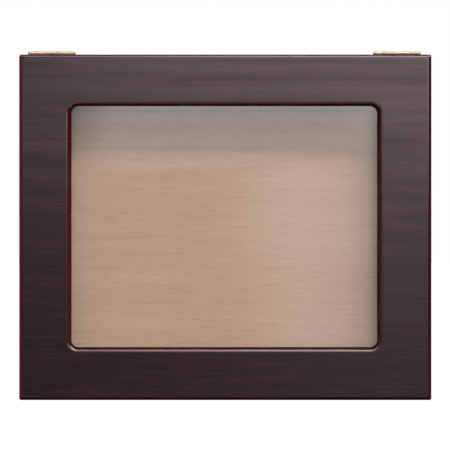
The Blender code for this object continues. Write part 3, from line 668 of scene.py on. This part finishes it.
def make_brads(materials):
    """Small nails with flat heads, driven outward through the strips."""
    for number in range(1, 11):
        node = f"glazing_brad_{number:02d}"
        low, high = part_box(node)
        centre, size = (low + high) / 2, high - low
        along = "x" if size.x > size.z else "z"
        length = getattr(size, along)
        head = (size.z if along == "x" else size.x) / 2
        sign = 1 if getattr(centre - DOOR_MIDDLE, along) > 0 else -1
        way = Vector((sign, 0, 0)) if along == "x" else Vector((0, 0, sign))
        profile = [
            (0.0, 0.0),
            (head * 0.8, 0.0),
            (head, -0.0001),
            (head, -0.0004),
            (head * 0.62, -0.0006),
            (head * 0.55, -0.0009),
            (head * 0.55, -length + 0.0016),
            (head * 0.08, -length),
            (0.0, -length),
        ]
        place = aimed(centre - way * length / 2, -way)
        stands_for(turned_piece(node, materials["brass"], profile, 20, 50.0, place), node, "door")


# ---------------------------------------------------------------- case


def board_profile():
    """The boards' cross-section as (outward, y) points, with eased edges and the back panel's groove."""
    eased = BOARD_EASED
    low_groove, high_groove = BACK_LOW.y - GROOVE_PLAY, BACK_HIGH.y + GROOVE_PLAY
    points = []
    points += arc((BOARD - eased, BOX_FRONT + eased), eased, -math.pi / 2, math.pi / 2, 4)
    points += arc((BOARD - eased, WALL - eased), eased, 0.0, math.pi / 2, 4)
    points += arc((eased / 2, WALL - eased / 2), eased / 2, math.pi / 2, math.pi / 2, 3)
    points += [(0.0, high_groove), (GROOVE, high_groove), (GROOVE, low_groove), (0.0, low_groove)]
    points += arc((eased / 2, BOX_FRONT + eased / 2), eased / 2, math.pi, math.pi / 2, 3)
    return points


def board(name, along, outward, inner, half_length, item):
    """A mitred board. inner is the distance of its inner face from the case's middle."""
    middle = Vector((0.0, 0.0, BOX_MIDDLE))
    loops = []
    for end in (-1, 1):
        loop = []
        for out, y in board_profile():
            reach = along * end * (half_length + out - MITRE_GAP)
            loop.append(middle + reach + outward * (inner + out) + Vector((0.0, y, 0.0)))
        loops.append(loop)
    bm = bmesh.new()
    loft(bm, loops, cap_start=True, cap_end=True)
    return finished(name, bm, [item])


def stadium(node, grow=0.0):
    """The outline by inset of the node's stadium shape seen along Y, grown all round."""
    low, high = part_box(node)
    middle, half = (low + high) / 2, (high - low) / 2

    def outline(inset):
        half_x, half_z = half.x + grow - inset, half.z + grow - inset
        return rounded_rectangle(half_x, half_z, half_x - 1e-5, (middle.x, middle.z))

    return outline


def make_boards(materials):
    """Four mitred boards, with seats for the hinges, the magnets and the hanger plates."""
    right, up = Vector((1, 0, 0)), Vector((0, 0, 1))
    inner_x, inner_z = HALF_WIDTH - BOARD, HALF_BOX - BOARD
    level, upright = materials["board_x"], materials["board_z"]
    top = board("box_top_fine", right, up, inner_z, inner_x, level)
    bottom = board("box_bottom_fine", right, -up, inner_z, inner_x, level)
    left_board = board("box_left_fine", up, -right, inner_x, inner_z, upright)
    right_board = board("box_right_fine", up, right, inner_x, inner_z, upright)
    seats, pockets = bmesh.new(), bmesh.new()
    for side in SIDES:
        low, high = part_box(f"hinge_{side}_case_leaf")
        seat_low = (low.x - SEAT_PLAY, BOX_FRONT - SEAT_PLAY, low.z - SEAT_PLAY)
        box_into(seats, seat_low, (high.x + SEAT_PLAY, BOX_FRONT + HINGE_SEAT, TOP_HIGH.z + SEAT_PLAY))
        magnet = "magnet_" + side
        round_seat_into(pockets, magnet, BOX_FRONT - SEAT_PLAY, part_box(magnet)[1].y + SEAT_PLAY)
    combine(top, seats)
    combine(bottom, pockets)
    for side, piece in zip(SIDES, (left_board, right_board)):
        node = "hanger_plate_" + side
        low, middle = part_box(node)[0], middle_of(node)
        recess, room = bmesh.new(), bmesh.new()
        slab_into(recess, stadium(node, SEAT_PLAY), low.y - SEAT_PLAY, WALL + SEAT_PLAY)
        room_low = (middle.x - ROOM_HALF_X, low.y - ROOM_DEPTH, middle.z - ROOM_HALF_Z)
        box_into(room, room_low, (middle.x + ROOM_HALF_X, low.y, middle.z + ROOM_HALF_Z))
        combine(piece, recess)
        combine(piece, room)
    for side, piece in (("top", top), ("bottom", bottom), ("left", left_board), ("right", right_board)):
        stands_for(piece, "box_" + side, "case")


def make_back_panel(materials):
    """The veneered panel in the groove."""
    bm = bmesh.new()
    box_into(bm, BACK_LOW, BACK_HIGH, 0.0004)
    panel = finished("back_panel_fine", bm, [materials["back"]])
    stands_for(panel, "back_panel", "case")


def make_catches(materials):
    """Magnets in thin cups, steel strikes and felt bumpers."""
    for side in SIDES:
        node = "magnet_" + side
        low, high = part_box(node)
        centre, radius, depth = (low + high) / 2, (high.x - low.x) / 2, high.y - low.y
        profile = [
            (0.0, 0.0),
            (radius * 0.80, 0.0),
            (radius * 0.83, -0.00012),
            (radius * 0.86, 0.0),
            (radius - 0.0002, 0.0),
            (radius, -0.0002),
            (radius, -depth),
            (0.0, -depth),
        ]
        place = aimed((centre.x, low.y, centre.z), (0, -1, 0))
        stands_for(turned_piece(node, materials["nickel"], profile, 48, 50.0, place), node, "case")

        node = "bumper_" + side
        low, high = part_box(node)
        centre, radius, depth = (low + high) / 2, (high.x - low.x) / 2, high.y - low.y
        profile = [(0.0, 0.0), (radius * 0.6, 0.0), (radius * 0.93, -depth * 0.2), (radius, -depth * 0.6)]
        profile += [(radius * 0.98, -depth), (0.0, -depth)]
        place = aimed((centre.x, low.y, centre.z), (0, -1, 0))
        stands_for(turned_piece(node, materials["felt"], profile, 40, 50.0, place), node, "case")

        node = "strike_" + side
        low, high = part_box(node)
        centre, radius, depth = (low + high) / 2, (high.x - low.x) / 2, high.y - low.y
        rim = arc((radius - 0.0002, -0.0002), 0.0002, math.pi / 2, -math.pi / 2, 3)
        profile = [(0.0, 0.0)] + rim + [(radius, -depth), (0.0, -depth)]
        strike = turned_piece(node, materials["zinc"], profile, 48, 40.0, Matrix.Identity(4))
        hole = bmesh.new()
        sink_into(hole, Matrix.Identity(4), depth)
        combine(strike, hole, sharp=40.0)
        strike.matrix_world = aimed((centre.x, high.y, centre.z), (0, 1, 0))
        stands_for(strike, node, "door")


# ---------------------------------------------------------------- screws and hangers

SCREW_HEAD = 0.0026
SCREW_CONE = 0.0014
SCREW_SHANK = 0.00125
SCREW_LENGTH = 0.0100
ENTRY_RADIUS, SLOT_RADIUS, KEYHOLE_TRAVEL = 0.0046, 0.0024, 0.010


def sink_into(bm, matrix, depth):
    """The countersink and hole for a screw whose head is flush at local Z = 0."""
    over = 0.0004
    slope = (SCREW_HEAD - SCREW_SHANK) / SCREW_CONE
    play = 0.00015
    shank = SCREW_SHANK + play
    profile = [
        (0.0, over),
        (SCREW_HEAD + play + slope * over, over),
        (shank, -SCREW_CONE),
        (shank, -depth - over),
        (0.0, -depth - over),
    ]
    turned_into(bm, profile, 40, matrix)


def screw_mesh(metal):
    """A countersunk screw with an eased rim, thread rings and a tapered cross recess."""
    profile = [(0.0, 0.0), (SCREW_HEAD - 0.00015, 0.0), (SCREW_HEAD, -0.00012), (SCREW_SHANK, -SCREW_CONE)]
    pitch, crest = 0.0009, SCREW_SHANK
    root = SCREW_SHANK * 0.72
    z = -SCREW_CONE - 0.0006
    profile.append((crest, z))
    while z - pitch > -SCREW_LENGTH + 0.002:
        profile += [(root, z - pitch * 0.35), (root, z - pitch * 0.6), (crest, z - pitch)]
        z -= pitch
    profile += [(root * 0.8, -SCREW_LENGTH + 0.0014), (0.00015, -SCREW_LENGTH), (0.0, -SCREW_LENGTH)]
    bm = bmesh.new()
    turned_into(bm, profile, 32)
    screw = finished("screw_" + metal.name, bm, [metal], 40.0)
    for reach_x, reach_y in ((0.0014, 0.0003), (0.0003, 0.0014)):
        top, bottom = 0.0002, -0.0011
        loops = []
        for z, share in ((bottom, 0.45), (top, 1.05)):
            x = reach_x * (share if reach_x > reach_y else 1)
            y = reach_y * (share if reach_y > reach_x else 1)
            loops.append([(x, y, z), (-x, y, z), (-x, -y, z), (x, -y, z)])
        arm = bmesh.new()
        loft(arm, loops, cap_start=True, cap_end=True)
        combine(screw, arm, sharp=40.0)
    flat_broad_faces(screw)
    mesh = screw.data
    bpy.data.objects.remove(screw)
    return mesh


def put_screw(node, mesh, body, into_y):
    """A screw in the place of its CAD node, driven along into_y and turned by its own angle."""
    low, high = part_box(node)
    centre = (low + high) / 2
    head = low.y if into_y > 0 else high.y
    piece = bpy.data.objects.new(node + "_fine", mesh)
    bpy.context.scene.collection.objects.link(piece)
    turned = Matrix.Rotation(math.radians(37.0 * (sum(map(ord, node)) % 7)), 4, "Z")
    piece.matrix_world = aimed((centre.x, head, centre.z), (0, -into_y, 0)) @ turned
    stands_for(piece, node, body, flat=False)


def make_screws(materials):
    """Brass screws in the hinges, zinc ones in the strikes and hangers. Screws of a metal share a mesh."""
    brass, zinc = screw_mesh(materials["brass"]), screw_mesh(materials["zinc"])
    for side in SIDES:
        for number in (1, 2, 3):
            put_screw(f"hinge_{side}_case_screw_{number}", brass, "case", 1)
            put_screw(f"hinge_{side}_door_screw_{number}", brass, "door", -1)
        for number in (1, 2):
            put_screw(f"hanger_screw_{side}_{number}", zinc, "case", -1)
        put_screw("strike_screw_" + side, zinc, "door", -1)


def make_hangers(materials):
    """Stadium plates with a keyhole: round entry below, narrow slot above."""
    meet = math.asin(SLOT_RADIUS / ENTRY_RADIUS)
    for side in SIDES:
        node = "hanger_plate_" + side
        low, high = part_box(node)
        middle = (low + high) / 2
        bm = bmesh.new()
        slab_into(bm, stadium(node), low.y, high.y, 0.0003)
        plate = finished(node + "_fine", bm, [materials["zinc"]], 40.0)
        entry = (middle.x, middle.z - KEYHOLE_TRAVEL / 2)
        slot = (middle.x, middle.z + KEYHOLE_TRAVEL / 2)
        hole = arc(entry, ENTRY_RADIUS, math.pi / 2 + meet, 2 * (math.pi - meet), 36)
        hole += arc(slot, SLOT_RADIUS, 0.0, math.pi, 18)
        cut = bmesh.new()
        loft(cut, [[(x, y, z) for x, z in hole] for y in (low.y - 0.001, high.y + 0.001)], True, True)
        combine(plate, cut, sharp=40.0)
        for number in (1, 2):
            centre = middle_of(f"hanger_screw_{side}_{number}")
            sink = bmesh.new()
            sink_into(sink, aimed((centre.x, high.y, centre.z), (0, 1, 0)), high.y - low.y)
            combine(plate, sink, sharp=40.0)
        stands_for(plate, node, "case")


# ---------------------------------------------------------------- hinges

# LEAF_SPLIT is half the gap between the closed plates, KNUCKLE_PLAY what a knuckle gives up at each end
KNUCKLES = 5
KNUCKLE_RADIUS = 0.003
LEAF_SPLIT = 0.0001
LEAF_THICKNESS = 0.0012
PLATE_BELOW_TOP = 0.0003
PLATE_CORNER = 0.0006
PLATE_BEVEL = 0.00012
KNUCKLE_PLAY = 0.0002
KNUCKLE_BEVEL = 0.0005
KNUCKLE_FILLET = 0.0008
PIN_RADIUS, PIN_BORE = 0.00145, 0.0017
DOME = 0.0008


def knuckle_outline(inset, side_y, axis, foot_z):
    """A leaf's rolled eye seen along the pin.

    It runs up the plate's inner face, round the pin and down the plate's outer face.
    """
    radius = KNUCKLE_RADIUS - inset
    inner, outer = LEAF_SPLIT + inset, LEAF_SPLIT + LEAF_THICKNESS - inset
    neck = math.asin((outer + KNUCKLE_FILLET) / (radius + KNUCKLE_FILLET))
    seam = math.asin(inner / radius)
    points = [(inner, foot_z - axis.z)]
    points += arc((0.0, 0.0), radius, seam - math.pi / 2, seam - neck - 2 * math.pi, 36)
    centre = (outer + KNUCKLE_FILLET, -(radius + KNUCKLE_FILLET) * math.cos(neck))
    points += arc(centre, KNUCKLE_FILLET, math.pi / 2 + neck, math.pi / 2 - neck, 5)[1:]
    points.append((outer, foot_z - axis.z))
    return [(axis.y + side_y * y, axis.z + z) for y, z in points]


def make_leaf(side, owner, side_y, own, brass):
    """A hinge leaf: plate with eased corners, its own knuckles, countersunk holes."""
    node = f"hinge_{side}_{owner}_leaf"
    low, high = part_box(node)
    axis = middle_of(f"hinge_{side}_pin")
    pitch = (high.x - low.x) / KNUCKLES
    plate_top = TOP_HIGH.z - PLATE_BELOW_TOP
    plate_y = sorted((axis.y + side_y * LEAF_SPLIT, axis.y + side_y * (LEAF_SPLIT + LEAF_THICKNESS)))
    middle = ((low.x + high.x) / 2, (low.z + plate_top) / 2)
    half = ((high.x - low.x) / 2, (plate_top - low.z) / 2)

    def outline(inset):
        return rounded_rectangle(half[0] - inset, half[1] - inset, PLATE_CORNER, middle, 4)

    bm = bmesh.new()
    slab_into(bm, outline, plate_y[0], plate_y[1], PLATE_BEVEL, 2)
    leaf = finished(node + "_fine", bm, [brass], 35.0)
    bevel = KNUCKLE_BEVEL
    for knuckle in own:
        start = low.x + knuckle * pitch + (KNUCKLE_PLAY if knuckle else 0.0)
        end = low.x + (knuckle + 1) * pitch - (KNUCKLE_PLAY if knuckle < KNUCKLES - 1 else 0.0)
        sections = [(start, bevel), (start + bevel * 0.3, bevel * 0.3), (start + bevel, 0.0)]
        sections += [(end - bevel, 0.0), (end - bevel * 0.3, bevel * 0.3), (end, bevel)]
        foot_z = plate_top - LEAF_THICKNESS
        loops = []
        for x, inset in sections:
            loops.append([(x, y, z) for y, z in knuckle_outline(inset, side_y, axis, foot_z)])
        eye = bmesh.new()
        loft(eye, loops, True, True)
        combine(leaf, eye, "UNION", 35.0)
    bore = bmesh.new()
    reach = (high.x - low.x) / 2 + 0.001
    profile = [(0.0, reach), (PIN_BORE, reach), (PIN_BORE, -reach), (0.0, -reach)]
    turned_into(bore, profile, 32, aimed((middle[0], axis.y, axis.z), (1, 0, 0)))
    combine(leaf, bore, sharp=35.0)
    for number in (1, 2, 3):
        centre = middle_of(f"hinge_{side}_{owner}_screw_{number}")
        face = axis.y + side_y * LEAF_SPLIT
        sink = bmesh.new()
        sink_into(sink, aimed((centre.x, face, centre.z), (0, -side_y, 0)), LEAF_THICKNESS)
        combine(leaf, sink, sharp=35.0)
    stands_for(leaf, node, owner)


def make_pin(side, brass):
    """A pin with low domed heads."""
    node = f"hinge_{side}_pin"
    low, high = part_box(node)
    end, head = (high.x - low.x) / 2, (high.z - low.z) / 2
    rounding = turns(math.pi / 2, 6)[1:]
    dome = [(head * math.sin(turn), end - DOME * (1 - math.cos(turn))) for turn in rounding]
    profile = [(0.0, end)] + dome + [(PIN_RADIUS, end - DOME)]
    profile += [(radius, -z) for radius, z in reversed(profile)]
    pin = turned_piece(node, brass, profile, 40, 40.0, aimed((low + high) / 2, (1, 0, 0)))
    stands_for(pin, node, "case")


def make_hinges(materials):
    """Two butt hinges. The case's leaf has the outer and middle knuckles, the door's the other two."""
    brass = materials["brass"]
    for side in SIDES:
        make_leaf(side, "case", 1, (0, 2, 4), brass)
        make_leaf(side, "door", -1, (1, 3), brass)
        make_pin(side, brass)


# ---------------------------------------------------------------- studio

CAMERA_DISTANCE = 2.2
CAMERA_SIDE, CAMERA_LIFT = -0.0004, 0.0034
LENS = 119.24
FLOOR_REACH = 8.0
FLOOR_GAP = 0.0004

# The studio's soft lights. Each has a strength and, by angle, where it starts and ends to rise and to fall:
# bearing is to the right of straight ahead of the door, height is above the horizon, and pitch is the
# height as seen from the side. All are in degrees.
KEY_BAR = {"strength": 21.2, "pitch": (58.5, 61, 64, 70.5), "bearing": (-70, -60, 66, 74)}
LOW_BAR = {"strength": 1.0, "pitch": (36, 44, 52, 60), "bearing": (-50, -40, 50, 60)}
FILL = {"strength": 2.0, "bearing": (-6, 2, 14, 22), "height": (18, 24, 38, 46)}
RIGHT_SPOT = {"strength": 1.2, "bearing": (11, 15, 22, 30), "height": (1, 5, 9, 14)}
LEFT_CARD = {"strength": 0.4, "bearing": (-15, -9, -5.8, -4.4), "height": (-4.5, -1, 4, 8)}
LOW_CARD = {"strength": 0.25, "bearing": (-50, -35, 35, 50), "height": (-30, -22, -12, -6)}
FLANKS = {"strength": 1.0, "bearing": (-85, -60, 60, 85), "height": (-30, -15, 20, 32)}
CARD_LINE = {"strength": 1.6, "height": (4.3, 4.6, 4.75, 5.1)}
CARD_BEARING = (-35, -20, 16, 28)
RIGHT_CARD_HEIGHT = (-8, -4, 6, 10)
BEHIND_HEIGHT = (-45, -25, 30, 46)
AMBIENT = 0.02


def make_floor():
    """A pale floor under the case. It lights nothing, so the dark wood reflects the studio only."""
    bm = bmesh.new()
    bmesh.ops.create_grid(bm, x_segments=8, y_segments=8, size=FLOOR_REACH)
    bmesh.ops.translate(bm, vec=(0.0, 0.0, FLOOR - FLOOR_GAP), verts=bm.verts)
    made, _, shader = material("pale_floor")
    shader_values(shader, Base_Color=(0.12, 0.12, 0.12, 1.0), Roughness=0.9, Specular_IOR_Level=0.1)
    shader_values(shader, Emission_Color=(1.0, 1.0, 1.0, 1.0), Emission_Strength=0.96)
    floor = finished("floor", bm, [made])
    floor.visible_diffuse = False
    floor.visible_glossy = False
    floor.visible_transmission = True


def make_world():
    """A white studio: two bars of light high ahead, soft cards round the camera, dim elsewhere and behind.

    The camera sees it plain white. Only the pieces are lit by its pattern.
    """
    world = bpy.data.worlds.new("studio")
    bpy.context.scene.world = world
    world.use_nodes = True
    graph = Graph(world.node_tree)
    x, y, z = graph.split(graph.add("ShaderNodeTexCoord").outputs["Generated"])
    ahead = graph.product(y, -1.0)
    bearing = graph.product(graph.math("ARCTAN2", x, ahead), 180 / math.pi)
    height = graph.product(graph.math("ARCSINE", z), 180 / math.pi)
    pitch = graph.product(graph.math("ARCTAN2", z, ahead), 180 / math.pi)
    angles = {"bearing": bearing, "height": height, "pitch": pitch}

    def light(row):
        """The light of one row of the table above."""
        parts = [graph.between(angles[angle], edges) for angle, edges in row.items() if angle != "strength"]
        return graph.product(*parts, row["strength"])

    key = graph.product(light(KEY_BAR), graph.steps(bearing, 0.55, (-12, 4, 0.45), (28, 42, 1.0)))
    low_bar = graph.product(light(LOW_BAR), graph.steps(bearing, 1.0, (-16, 14, 2.2)))
    flanks = graph.product(light(FLANKS), graph.steps(bearing, 0.25, (-40, -25, -0.25), (22, 40, 0.12)))

    # The card over the camera starts just above it, and fades out upwards and to the left
    card_across = graph.steps(bearing, 0.15, (-14, -6, 0.35), (-6, -4, 0.5), (3.6, 6.0, 0.2))
    card_up = graph.sum(graph.steps(height, 0.0, (1.7, 3.3, 2.2), (3.6, 4.3, 0.85)), light(CARD_LINE))
    card_top = graph.ramp(height, 14, 24, 1.0, 0.0)
    card = graph.product(card_up, card_top, card_across, graph.between(bearing, CARD_BEARING))

    # The cards beside the camera. The right one grows brighter in steps
    upper = graph.product(graph.ramp(bearing, -1.2, 1.5), graph.ramp(height, -2.0, -0.6), 0.42)
    lower = graph.steps(bearing, 0.0, (0.0, 3.0, 0.8), (3.5, 5.5, 0.5))
    right_end = graph.ramp(bearing, 6.2, 12, 1.0, 0.0)
    right_card = graph.product(graph.sum(upper, lower), right_end, graph.between(height, RIGHT_CARD_HEIGHT))
    cards = graph.math("MAXIMUM", card, graph.sum(light(LEFT_CARD), right_card))

    # Behind the case it is brighter to the left, as seen from the front
    behind = graph.product(graph.ramp(y, 0.60, 0.90), graph.between(height, BEHIND_HEIGHT))
    behind = graph.product(behind, graph.steps(x, 1.5, (-0.6, 0.6, -1.2)))

    small = graph.sum(light(FILL), light(RIGHT_SPOT), light(LOW_CARD))
    total = graph.sum(AMBIENT, key, low_bar, cards, small, behind, flanks)
    seen = graph.add("ShaderNodeLightPath").outputs["Is Camera Ray"]
    strength = graph.sum(graph.product(total, graph.math("SUBTRACT", 1.0, seen)), seen)
    background = world.node_tree.nodes["Background"]
    graph.put(background.inputs["Color"], (1.0, 1.0, 1.0, 1.0))
    graph.put(background.inputs["Strength"], strength)


def make_camera():
    """A long lens straight in front, a little above the door's middle."""
    data = bpy.data.cameras.new("camera")
    data.lens = LENS
    camera = bpy.data.objects.new("camera", data)
    bpy.context.scene.collection.objects.link(camera)
    camera.location = (CAMERA_SIDE, FRONT - CAMERA_DISTANCE, DOOR_MIDDLE.z + CAMERA_LIFT)
    camera.rotation_euler = (math.pi / 2, 0.0, 0.0)
    bpy.context.scene.camera = camera


def main():
    scene = bpy.context.scene
    scene.view_settings.view_transform = "Standard"
    scene.view_settings.look = "None"
    materials = make_materials()
    make_door_panel(materials)
    make_pane(materials)
    make_strips(materials)
    make_brads(materials)
    make_boards(materials)
    make_back_panel(materials)
    make_catches(materials)
    make_screws(materials)
    make_hangers(materials)
    make_hinges(materials)
    make_floor()
    make_world()
    make_camera()


main()
